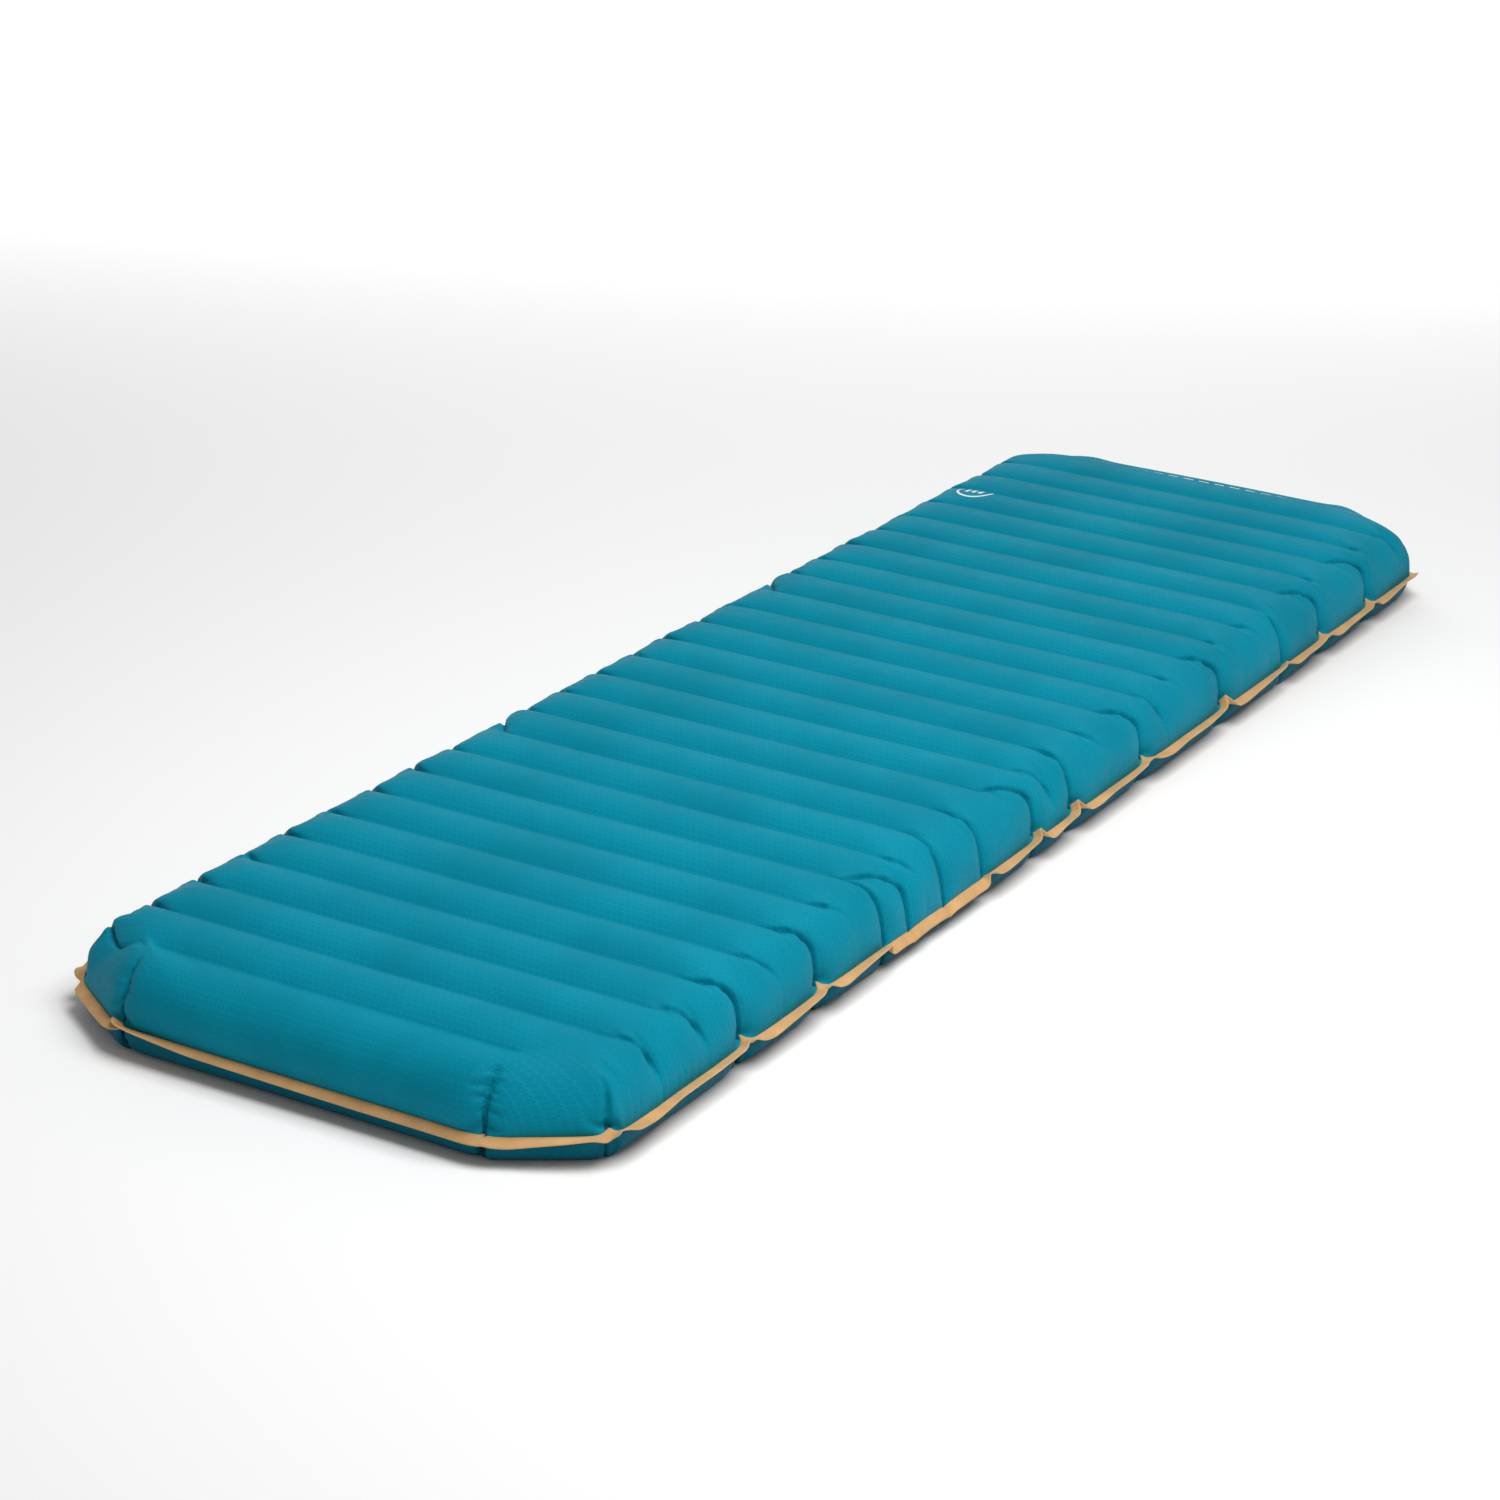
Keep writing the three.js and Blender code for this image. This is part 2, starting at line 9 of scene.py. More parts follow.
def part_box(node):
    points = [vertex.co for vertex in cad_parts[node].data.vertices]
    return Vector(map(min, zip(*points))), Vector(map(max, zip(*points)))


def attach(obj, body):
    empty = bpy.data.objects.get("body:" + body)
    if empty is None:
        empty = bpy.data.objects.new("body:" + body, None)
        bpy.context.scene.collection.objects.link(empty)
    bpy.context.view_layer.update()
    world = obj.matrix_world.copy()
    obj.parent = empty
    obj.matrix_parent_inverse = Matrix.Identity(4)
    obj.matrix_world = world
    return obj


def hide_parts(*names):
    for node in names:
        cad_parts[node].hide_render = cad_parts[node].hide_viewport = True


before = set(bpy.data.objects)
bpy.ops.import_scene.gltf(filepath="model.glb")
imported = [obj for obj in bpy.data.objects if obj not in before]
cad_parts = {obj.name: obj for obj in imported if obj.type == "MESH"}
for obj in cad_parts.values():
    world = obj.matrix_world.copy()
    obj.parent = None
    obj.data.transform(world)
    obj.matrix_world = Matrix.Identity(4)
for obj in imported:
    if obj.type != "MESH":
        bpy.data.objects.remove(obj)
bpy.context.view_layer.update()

# ---- Driving dimensions, from the frame ----
SHEET_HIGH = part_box("top_sheet")[1]
TAPE_LOW, TAPE_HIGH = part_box("seam_tape")
WEB_NAMES = sorted(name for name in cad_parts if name.startswith("baffle_web"))
WEB_BOXES = [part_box(name) for name in WEB_NAMES]
STATIONS = [(low.y + high.y) / 2 for low, high in WEB_BOXES]
PITCH = STATIONS[1] - STATIONS[0]
HALF_WIDTH = SHEET_HIGH.x
HALF_LENGTH = SHEET_HIGH.y
HEIGHT = SHEET_HIGH.z
WEB_REACH = WEB_BOXES[0][1].x
WEB_LOW, WEB_HIGH = WEB_BOXES[0][0].z, WEB_BOXES[0][1].z
TAPE_WIDTH = TAPE_HIGH.x - HALF_WIDTH
CHAMFER_X = 0.0826  # corner cut across the pad
CHAMFER_Y = 0.0544  # corner cut along the pad
CHAMFER_LENGTH = math.hypot(CHAMFER_X, CHAMFER_Y)

# ---- Shape of the inflated sheets before the simulation ----
SEAM_Z = (TAPE_LOW.z + TAPE_HIGH.z) / 2
TOP_ROUND = 0.028  # reach of the rounded upper wall
LOW_ROUND = 0.010  # reach of the rounded lower wall
CELL = 0.0042  # size of the cloth's cells on the walls
CENTRE_CELL = 0.009  # their width in the middle of the pad
ROWS_PER_TUBE = 20
SLACK = 0.060  # how much longer the sheets are cut than the inflated pad, in the middle
SEAM_SLACK = 0.014  # the same at the seam
SLACK_REACH = 0.060  # distance from the seam over which it changes
WALL_CUT = 0.90  # cut length of the long upper walls, as a part of the smooth form's
END_CUT = 0.97  # the same for the end walls
FABRIC_GAP = 0.0016  # from a web's edge to the sheets' surfaces
VALLEY_TOP = WEB_HIGH + FABRIC_GAP
VALLEY_LOW = WEB_LOW - FABRIC_GAP
# Reach of each sheet's wall, its height, and how steep its cut corners are beside its sides.
SHEET_FORMS = ((TOP_ROUND, HEIGHT, 0.65), (LOW_ROUND, 0.0, 1.0))
PROFILE_SAMPLES = 400


def wall_path(reach, rise):
    """Plan inset and height along a quarter-elliptic wall, by path length from the seam."""
    turn = np.linspace(0, math.pi / 2, PROFILE_SAMPLES)
    inset = reach * (1 - np.cos(turn))
    height = rise * np.sin(turn)
    path = np.concatenate([[0], np.cumsum(np.hypot(np.diff(inset), np.diff(height)))])
    return path, inset


def plan_insets(end):
    """Plan distances from the seam of grid lines that are evenly spaced along the upper wall."""
    path, inset = wall_path(TOP_ROUND, HEIGHT - SEAM_Z)
    count = int(round((path[-1] + max(0.0, end - TOP_ROUND)) / CELL))
    at = np.linspace(0, path[-1] + max(0.0, end - TOP_ROUND), count + 1)
    return np.where(at <= path[-1], np.interp(at, path, inset), TOP_ROUND + at - path[-1])


def grid_lines():
    """The grid's y stations, and its columns' insets from each long side."""
    end_tube = STATIONS[0] + HALF_LENGTH
    end = plan_insets(end_tube)
    inner = np.arange(1, ROWS_PER_TUBE * (len(STATIONS) - 1)) * PITCH / ROWS_PER_TUBE
    y = np.concatenate([end - HALF_LENGTH, STATIONS[0] + inner, (HALF_LENGTH - end)[::-1]])
    side = plan_insets(HALF_WIDTH - WEB_REACH)
    middle = int(round(2 * WEB_REACH / CENTRE_CELL))
    across = np.linspace(-WEB_REACH, WEB_REACH, middle + 1)[1:-1]
    return y, side, across


def half_width_at(y):
    """Half the width of the seam's outline."""
    return HALF_WIDTH - CHAMFER_X * np.clip(1 - (HALF_LENGTH - np.abs(y)) / CHAMFER_Y, 0, 1)


def seam_distance(x, y, corner=1.0):
    """Distance in plan to the seam, where distances to the cut corners count corner times."""
    side, end = HALF_WIDTH - np.abs(x), HALF_LENGTH - np.abs(y)
    chamfer = (side * CHAMFER_Y + end * CHAMFER_X - CHAMFER_X * CHAMFER_Y) / CHAMFER_LENGTH
    return np.clip(np.minimum(np.minimum(side, end), chamfer * corner), 0, None)


def sheet_height(x, y, reach, level, corner):
    """Height of a sheet whose walls are quarter ellipses, with its cut corners rising more slowly."""
    rise = np.sqrt(1 - np.clip(1 - seam_distance(x, y, corner) / reach, 0, 1) ** 2)
    return SEAM_Z + (level - SEAM_Z) * rise


def smooth_sheets():
    """The two sheets as grids of points, without tubes or wrinkles: (rows, columns, 3) each."""
    y, side, across = grid_lines()
    shape = (len(y), 2 * len(side) + len(across))
    x = np.empty(shape)
    for i, at in enumerate(y):
        half = half_width_at(at)
        squeeze = (half - side[-1]) / WEB_REACH
        x[i] = np.concatenate([side - half, across * squeeze, (half - side)[::-1]])
    yy = np.repeat(y[:, None], shape[1], axis=1)
    return [np.stack([x, yy, sheet_height(x, yy, *form)], axis=2) for form in SHEET_FORMS]


# ---- Creases ----
# Pleats in the long seams: station in pitches from the middle (head end +), how far the
# pleat is pulled in, and how far it is lifted.
RIGHT_PLEATS = (
    (-10.15, 0.008, 0.010), (-8.15, 0.008, 0.010), (-6.35, 0.004, -0.005), (-5.65, 0.003, -0.007),
    (-4.6, 0.003, -0.007), (-3.4, 0.004, -0.005), (-1.7, 0.006, 0.006), (-0.45, 0.006, 0.009),
    (2.05, 0.007, 0.010), (5.05, 0.007, 0.008), (7.5, 0.004, -0.003), (9.2, 0.007, 0.009),
    (11.3, 0.007, 0.011),
)
LEFT_PLEATS = (
    (-13.0, 0.006, 0.009), (-12.6, 0.003, -0.005), (-12.2, 0.006, 0.009),
    (-11.2, 0.007, 0.010), (-9.3, 0.006, 0.009), (-7.2, 0.004, -0.004), (-6.15, 0.007, 0.010),
    (-3.7, 0.007, 0.010), (-1.3, 0.004, -0.005), (0.7, 0.007, 0.009), (2.4, 0.004, -0.004),
    (4.3, 0.007, 0.010), (6.7, 0.007, 0.010), (8.4, 0.004, -0.005), (10.6, 0.007, 0.010),
)
CORNER_PULL = 0.006
CORNER_LIFTS = (0.0, 0.009)  # at the cut corner's place on the end, and on the long side
CORNER_SLOPE = 1.2  # of the sides of the grooves over the cut corners
CREASE_LEAN = 0.35 * PITCH  # a crease meets the seam this much nearer to the head end
CREASE_SAMPLES = 90
CREASE_BEND = (0.3, 0.8)  # part of a crease's run over which it bends into the valley
VALLEY_DEPTH = HEIGHT - VALLEY_TOP
HOOK_STARTS = (0.15, 0.5)  # where along a crease's run an unpinched hook begins
HOOK_LEANS = (0.6, 1.2)  # its lean, as a part of the usual one
HOOK_RISE = 0.2  # part of the run over which a crease grows to its full depth
PINCH_RISE = 0.55  # the same for a crease over a pinch
PINCH_FOLD, HOOK_FOLD, CORNER_FOLD = 0.0060, 0.0050, 0.0035  # depth of the sharp folds
FOLD_END = (0.6, 0.9)  # part of a crease's run over which its fold fades out
FOLD_WIDTH = 0.0021
FOLD_CELLS = 4  # how many fine cells a fold reaches to each side
LOWER_CREASE_END = (0.9, 0.99)  # where a crease ends under the pad, as parts of its place
HOOK_SEED = 5
# Stretches of the seam at a corner, and how far the creases from there run inward and lengthwise.
CORNER_CREASES = (
    ((STATIONS[-1], HALF_LENGTH), (0.0078, 0.026)),
    ((HALF_LENGTH - CHAMFER_Y - CELL, STATIONS[-1]), (0.022, 0.007)),
)


def sheet_normals(points):
    """Unit normals of the upper side of a grid."""
    normals = area_normals(points)
    return normals / np.linalg.norm(normals, axis=2)[..., None]


def halve(points, axis):
    """One step of cubic B-spline subdivision of a grid along an axis. The grid's ends stay."""
    p = np.moveaxis(points, axis, 0)
    fine = np.empty((2 * len(p) - 1, *p.shape[1:]))
    fine[::2] = p
    fine[2:-1:2] = (p[:-2] + 6 * p[1:-1] + p[2:]) / 8
    fine[1::2] = (p[:-1] + p[1:]) / 2
    return np.moveaxis(fine, 0, axis)


def refine(points):
    """Halves a grid's cells both ways."""
    return halve(halve(points, 0), 1)


class Creases:
    """Lines on one sheet that lie below its smooth surface: the cloth can't rise above them.

    The side is 1 for the upper sheet and -1 for the lower one.
    """

    def __init__(self, smooth, form, side):
        self.smooth = smooth
        self.fine = refine(smooth)
        self.form = form
        self.side = side
        self.normals = sheet_normals(smooth) * side
        self.depths = {}
        self.fold = np.zeros(self.fine.shape[:2])

    def add(self, start, end, depth, fold, slope=0):
        """A crease from a place on the seam up the wall to a place on the top, both in plan.

        Its depth and its fold are pairs of lists: parts of its run, and the values there. With a
        slope it is a groove with sloping sides.
        """
        reach, level, _ = self.form
        path, inset = wall_path(reach, level - SEAM_Z)
        run = max(math.dist(start, end), reach)
        path = np.append(path, path[-1] + run - reach) / (path[-1] + run - reach)
        inset = np.append(inset, run) / run
        for t in np.linspace(0, 1, CREASE_SAMPLES):
            part = np.interp(t, path, inset)
            bend = np.interp(t, CREASE_BEND, (1, 0))
            x = start[0] + (end[0] - start[0]) * part
            y = end[1] + (start[1] - end[1]) * bend * bend * (3 - 2 * bend)
            offset = self.smooth[..., :2] - (x, y)
            away = np.sqrt(np.einsum("ijk,ijk->ij", offset, offset)).ravel()
            at = int(np.argmin(away))
            deep = np.interp(t, *depth)
            reached = np.nonzero(away < deep / slope)[0] if slope else ()
            for k in (at, *reached):
                below = deep if k == at else deep - slope * away[k]
                self.depths[k] = max(below, self.depths.get(k, 0))
            self.sharpen(at, (x, y, sheet_height(x, y, *self.form)), np.interp(t, *fold))

    def sharpen(self, at, place, depth):
        """Folds the fine sheet sharply at a place."""
        row, column = (2 * k for k in np.unravel_index(at, self.smooth.shape[:2]))
        near = np.s_[max(row - FOLD_CELLS, 0) : row + FOLD_CELLS + 1,
                     max(column - FOLD_CELLS, 0) : column + FOLD_CELLS + 1]
        offset = self.fine[near] - place
        away = np.einsum("ijk,ijk->ij", offset, offset) / FOLD_WIDTH ** 2
        self.fold[near] = np.maximum(self.fold[near], depth * np.exp(-away))

    def close(self):
        """Works out the limits, once every crease is there. The sheet's rim stays unfolded."""
        at = np.array(sorted(self.depths))
        depth = np.array([self.depths[k] for k in at])
        self.index = np.unravel_index(at, self.smooth.shape[:2])
        self.out = self.normals[self.index].astype(np.float32)
        self.limit = np.einsum("ik,ik->i", self.smooth[self.index], self.out) - depth
        for edge in (np.s_[:1], np.s_[-1:], np.s_[:, :1], np.s_[:, -1:]):
            self.fold[edge] = 0

    def press(self, points, grip):
        """Moves points that have risen above the creases back to them."""
        place = points[self.index]
        above = np.einsum("ik,ik->i", place, self.out) - self.limit
        points[self.index] = place - self.out * (grip * np.clip(above, 0, None))[:, None]

    def folded(self, points):
        """The fine grid of a simulated sheet, with its sharp folds."""
        fine = refine(points)
        return fine - self.side * sheet_normals(fine) * self.fold[..., None]


def corner_places(x, y):
    """The two corners of the cut between a long side and an end."""
    return (
        (x * (HALF_WIDTH - CHAMFER_X), y * HALF_LENGTH),
        (x * HALF_WIDTH, y * (HALF_LENGTH - CHAMFER_Y)),
    )


def pinches():
    """Every place where the seam is pinched: plan place, pull inward, lift."""
    found = []
    for side, pleats in ((1, RIGHT_PLEATS), (-1, LEFT_PLEATS)):
        for station, pull_in, lift in pleats:
            found.append(((side * HALF_WIDTH, station * PITCH), pull_in, lift))
    for x in (1, -1):
        for y in (1, -1):
            if x < 0 < y:  # the valve's boat holds this corner open
                continue
            for place, lift in zip(corner_places(x, y), CORNER_LIFTS):
                found.append((place, CORNER_PULL, lift))
    return found


def valley_depth(x, y):
    """How far the valley over a web lies below the smooth upper sheet."""
    return float(np.clip(sheet_height(x, y, *SHEET_FORMS[0]) - VALLEY_TOP, 0, VALLEY_DEPTH))


def crease_end(place):
    """Where the crease over a pinch ends on the top, and its depth there."""
    x, y = place
    for (inner, outer), (across, along) in CORNER_CREASES:
        if inner < abs(y) <= outer:
            return (x - math.copysign(across, x), y - math.copysign(along, y)), 0.0
    nearest = min(STATIONS, key=lambda station: abs(station + CREASE_LEAN - y))
    end = (math.copysign(WEB_REACH, x), nearest)
    return end, valley_depth(*end)


def upper_creases(smooth):
    """Creases over the pinches, and a short hook where a valley has no pinch near it."""
    creases = Creases(smooth, SHEET_FORMS[0], 1)
    pinched = set()
    for place, pull_in, _ in pinches():
        end, depth = crease_end(place)
        pinched.add(end)
        depths = ((0, PINCH_RISE, 1), (pull_in, max(depth, pull_in / 2), depth))
        fold, slope = (PINCH_FOLD, 0) if depth else (CORNER_FOLD, CORNER_SLOPE)
        creases.add(place, end, depths, ((0, *FOLD_END), (fold, fold, 0)), slope)
    chance = np.random.default_rng(HOOK_SEED)
    for station in STATIONS:
        for x in (1, -1):
            start = chance.uniform(*HOOK_STARTS)
            lean = CREASE_LEAN * chance.uniform(*HOOK_LEANS)
            end = (x * WEB_REACH, station)
            if end in pinched or half_width_at(station) < HALF_WIDTH:
                continue
            depth = valley_depth(*end)
            grown = start + HOOK_RISE
            foot = (x * float(half_width_at(station)), station + lean)
            folds = ((start, grown, FOLD_END[1]), (0, HOOK_FOLD, 0))
            creases.add(foot, end, ((start, grown, 1), (0, depth, depth)), folds)
    creases.close()
    return creases


def lower_creases(smooth):
    """Creases under the pinches."""
    creases = Creases(smooth, SHEET_FORMS[1], -1)
    for place, pull_in, _ in pinches():
        x, y = place
        folds = ((0, *FOLD_END), (PINCH_FOLD, PINCH_FOLD, 0))
        end = (x * LOWER_CREASE_END[0], y * LOWER_CREASE_END[1])
        creases.add(place, end, ((0, 1), (pull_in, 0)), folds)
    creases.close()
    return creases


# ---- Cloth simulation of both sheets under air pressure, held by the webs ----
STEPS = 700
PRESSURE = 6e-6  # how far the air moves free cloth in one step, in metres
DRAG = 0.95  # speed kept from step to step
BEND = 0.06  # resistance to folding
SHEAR = 0.25  # resistance to shear
NOISE = 0.0003  # unevenness of the sheets at the start
GRIP_TIME = 0.3  # part of the steps over which creases and pinches tighten
PINCH_GRIP = 0.5  # part of its way back that a pinched point is moved in one step
SEAM_GRIP = 0.06  # the same for the rest of the seam
WEB_CLEAR = 0.006  # around a web the sheets stay outside it
REST_REACH = 0.035  # the lower sheet's rim lies on the ground up to this distance from the seam
REST_GRIP = 0.3  # part of its way back to the ground in one step
BOAT_SPAN = 0.44  # half the weld boat's length, as a part of the chamfer's length
BOAT_EDGE = 0.0013  # how far the boat's thin ends hold the sheets apart
SAME = 1e-4  # lengths that differ by less are the same
TINY = 1e-9  # these two keep divisions safe
SMALL_AREA = 1e-8
NOISE_SEED = 7


def lengths(points, axis):
    """Lengths of a grid's cell edges along an axis."""
    return np.linalg.norm(np.diff(points, axis=axis), axis=2).astype(np.float32)


def pull(a, b, rest, strength):
    """Moves two sets of points together or apart until they are at rest length."""
    gap = b - a
    length = np.sqrt(np.einsum("ijk,ijk->ij", gap, gap)) + TINY
    gap *= (0.5 * strength * (1 - rest / length))[..., None]
    a += gap
    b -= gap


def pull_lines(points, rest, axis):
    """One pass over every cell edge along an axis: first the even ones, then the odd ones."""
    if axis == 1:
        points, rest = points.transpose(1, 0, 2), rest.T
    for first in (0, 1):
        a, b = points[first:-1:2], points[first + 1 :: 2]
        pull(a[: len(b)], b, rest[first::2], 1.0)


class Cloth:
    """One sheet: a grid of points with its rest lengths."""

    def __init__(self, points, end_cut, side_cut):
        self.p = points.astype(np.float32)
        inward = seam_distance(points[..., 0], points[..., 1])
        slack = 1 + SEAM_SLACK + (SLACK - SEAM_SLACK) * np.clip(inward / SLACK_REACH, 0, 1)
        on_end = np.abs(points[..., 1]) > STATIONS[-1]
        on_side = np.abs(points[..., 0]) > WEB_REACH
        along = np.where(on_end, end_cut, slack)
        across = np.where(on_side, side_cut, 1.0)
        self.along = lengths(self.p, 0) * (along[1:] + along[:-1]) / 2
        self.across = lengths(self.p, 1) * (across[:, 1:] + across[:, :-1]) / 2
        corner = np.linalg.norm(self.p[1:, 1:] - self.p[:-1, :-1], axis=2)
        other = np.linalg.norm(self.p[1:, :-1] - self.p[:-1, 1:], axis=2)
        spare = np.sqrt(along[1:, 1:] * across[1:, 1:])
        self.diagonals = (corner * spare, other * spare)

    def solve(self):
        """Brings the edges, the diagonals and the bends of the cloth towards their rest lengths."""
        p = self.p
        pull_lines(p, self.along, 0)
        pull_lines(p, self.across, 1)
        pull(p[:-1, :-1], p[1:, 1:], self.diagonals[0], SHEAR)
        pull(p[:-1, 1:], p[1:, :-1], self.diagonals[1], SHEAR)
        pull(p[:-2], p[2:], self.along[:-1] + self.along[1:], BEND)
        pull(p[:, :-2], p[:, 2:], self.across[:, :-1] + self.across[:, 1:], BEND)


def area_normals(p):
    """Normals as long as the area that each grid point stands for."""
    along, across = np.empty_like(p), np.empty_like(p)
    along[1:-1] = (p[2:] - p[:-2]) / 2
    along[0], along[-1] = (p[1] - p[0]) / 2, (p[-1] - p[-2]) / 2
    across[:, 1:-1] = (p[:, 2:] - p[:, :-2]) / 2
    across[:, 0], across[:, -1] = (p[:, 1] - p[:, 0]) / 2, (p[:, -1] - p[:, -2]) / 2
    return np.cross(across, along)


def border(rows, columns):
    """Row and column indices once round the grid, counterclockwise from above."""
    i = [0] * columns + list(range(1, rows)) + [rows - 1] * (columns - 1) + list(range(rows - 2, 0, -1))
    j = list(range(columns)) + [columns - 1] * (rows - 1) + list(range(columns - 2, -1, -1))
    j += [0] * (rows - 2)
    return np.array(i), np.array(j)


def outward(loop):
    """Unit directions in plan, square to the closed outline, at each of its points."""
    step = np.roll(loop, -1, axis=0) - loop
    side = np.stack([step[:, 1], -step[:, 0]], axis=1)
    side /= np.linalg.norm(side, axis=1)[:, None]
    both = side + np.roll(side, 1, axis=0)
    return both / (1 + (side * np.roll(side, 1, axis=0)).sum(1))[:, None]


def beside_web(points):
    """Which points lie over or under a web or close beside it."""
    x, y = np.abs(points[..., 0]), points[..., 1]
    stations = (y - STATIONS[0]) / PITCH
    away = np.abs(stations - np.round(stations)) * PITCH
    return (away < WEB_CLEAR) & (x < WEB_REACH + WEB_CLEAR) & (np.abs(y) < STATIONS[-1] + WEB_CLEAR)


def pinch_targets(loop):
    """The seam points that are pinched, and where each is held."""
    normals = outward(loop[:, :2])
    numbers, places = [], []
    for place, pull_in, lift in pinches():
        k = int(np.argmin(np.linalg.norm(loop[:, :2] - place, axis=1)))
        numbers.append(k)
        places.append(loop[k] + [-normals[k, 0] * pull_in, -normals[k, 1] * pull_in, lift])
    return np.array(numbers), np.array(places, np.float32)


class BoatRim:
    """The part of the seam loop that the valve's weld boat holds open, and how far."""

    def __init__(self, loop):
        low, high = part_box("valve_weld_boat")
        middle = Vector((CHAMFER_X / 2 - HALF_WIDTH, HALF_LENGTH - CHAMFER_Y / 2))
        away = loop[:, :2] - np.array(middle)
        place = (away[:, 0] * CHAMFER_X + away[:, 1] * CHAMFER_Y) / CHAMFER_LENGTH ** 2
        square = np.abs(away[:, 1] * CHAMFER_X - away[:, 0] * CHAMFER_Y) / CHAMFER_LENGTH
        self.points = np.nonzero((np.abs(place) < BOAT_SPAN) & (square < CELL))[0]
        self.places = loop[self.points].astype(np.float32)
        turn = place[self.points] / BOAT_SPAN * math.pi / 2
        self.lift = BOAT_EDGE + ((high.z - low.z) / 2 - BOAT_EDGE) * np.cos(turn) ** 2


def simulate(steps):
    """Inflates the sheets. Returns their two grids, and the same grids refined and folded."""
    smooth = smooth_sheets()
    rows, columns = smooth[0].shape[:2]
    sheets = [Cloth(smooth[0], END_CUT, WALL_CUT), Cloth(smooth[1], 1.0, 1.0)]
    creases = [upper_creases(smooth[0]), lower_creases(smooth[1])]
    loop_i, loop_j = border(rows, columns)
    seam_at = smooth[0][loop_i, loop_j].astype(np.float32)
    pinched, held_at = pinch_targets(smooth[0][loop_i, loop_j])

    noise = np.random.default_rng(NOISE_SEED)
    for cloth in sheets:
        cloth.p += noise.normal(0, NOISE, cloth.p.shape).astype(np.float32)
    web_rows = [int(np.argmin(np.abs(smooth[0][:, 0, 1] - y))) for y in STATIONS]
    web_columns = np.nonzero(np.abs(smooth[0][rows // 2, :, 0]) <= WEB_REACH + SAME)[0]
    grid = np.ix_(web_rows, web_columns)
    stations = np.array(STATIONS, np.float32)[:, None]
    edge = seam_distance(smooth[1][..., 0], smooth[1][..., 1])
    resting = np.nonzero((edge >= LOW_ROUND) & (edge <= REST_REACH))
    resting_at = smooth[1][resting].astype(np.float32)
    boat = BoatRim(smooth[0][loop_i, loop_j])
    rest_area = [np.linalg.norm(area_normals(c.p), axis=2) + SMALL_AREA for c in sheets]
    speed = [np.zeros_like(c.p) for c in sheets]

    for step in range(steps):
        grip = min(1.0, step / (GRIP_TIME * steps))
        before = [c.p.copy() for c in sheets]
        for k, (cloth, side) in enumerate(zip(sheets, (1, -1))):
            air = area_normals(cloth.p) / rest_area[k][..., None]
            speed[k] += side * PRESSURE * air
            cloth.p += speed[k]
            cloth.solve()
            creases[k].press(cloth.p, grip)
        seam = (sheets[0].p[loop_i, loop_j] + sheets[1].p[loop_i, loop_j]) / 2
        seam += SEAM_GRIP * (seam_at - seam)
        seam[pinched] += PINCH_GRIP * grip * (held_at - seam[pinched])
        lying = sheets[1].p[resting]
        sheets[1].p[resting] = lying + REST_GRIP * (resting_at - lying)
        for cloth, level, side in zip(sheets, (VALLEY_TOP, VALLEY_LOW), (1, -1)):
            rim = seam.copy()
            rim[boat.points] = boat.places
            rim[boat.points, 2] += side * boat.lift
            cloth.p[loop_i, loop_j] = rim
            line = cloth.p[grid]
            line[..., 1] = stations
            line[..., 2] = level
            cloth.p[grid] = line
            np.maximum(cloth.p[..., 2], 0.0, out=cloth.p[..., 2])
        for cloth, level, limit in zip(sheets, (VALLEY_TOP, VALLEY_LOW), (np.maximum, np.minimum)):
            over = beside_web(cloth.p)
            cloth.p[over, 2] = limit(cloth.p[over, 2], level)
        for k, cloth in enumerate(sheets):
            speed[k] = (cloth.p - before[k]) * DRAG
    return [cloth.p for cloth in sheets], [c.folded(cloth.p) for c, cloth in zip(creases, sheets)]


# ---- Camera ----
# Angles and distance of the view, about a point on the ground.
VIEW_AZIMUTH, VIEW_ELEVATION, VIEW_ROLL = 28.44, 20.69, 2.92
VIEW_DISTANCE = 3.892
VIEW_TARGET = (-0.1007, -0.0109, 0.0)
VIEW_LENS = 95.8


def add_camera():
    """The scene's camera, turned about its own axis by the roll."""
    azimuth, elevation, roll = (math.radians(v) for v in (VIEW_AZIMUTH, VIEW_ELEVATION, VIEW_ROLL))
    back = Vector((
        math.sin(azimuth) * math.cos(elevation),
        -math.cos(azimuth) * math.cos(elevation),
        math.sin(elevation),
    ))
    right = Vector((0, 0, 1)).cross(back).normalized()
    up = back.cross(right)
    across = right * math.cos(roll) + up * math.sin(roll)
    above = up * math.cos(roll) - right * math.sin(roll)
    data = bpy.data.cameras.new("camera")
    data.lens = VIEW_LENS
    camera = bpy.data.objects.new("camera", data)
    turn = Matrix((across, above, back)).transposed().to_4x4()
    camera.matrix_world = Matrix.Translation(Vector(VIEW_TARGET) + back * VIEW_DISTANCE) @ turn
    bpy.context.scene.collection.objects.link(camera)
    bpy.context.scene.camera = camera


# ---- Lights and floor ----
# Name, place, the place it points at, size and power.
SOFTBOXES = (
    ("key", (0.9, -0.5, 2.3), (0, -0.4, 0), (1.7, 1.7), 62),
    ("backdrop", (-3.6, 5.6, 3.6), (-4.4, 7.0, 0), (7.0, 7.0), 900),
)
SKY_STRENGTH = 0.28
FLOOR_SIZE = 40
FLOOR_COLOUR = (0.92, 0.92, 0.92, 1)
FLOOR_ROUGHNESS = 0.9


def add_softbox(name, place, towards, size, power):
    data = bpy.data.lights.new(name, "AREA")
    data.shape = "RECTANGLE"
    data.size, data.size_y = size
    data.energy = power
    lamp = bpy.data.objects.new(name, data)
    lamp.location = place
    lamp.rotation_euler = (Vector(place) - Vector(towards)).to_track_quat("Z", "Y").to_euler()
    bpy.context.scene.collection.objects.link(lamp)


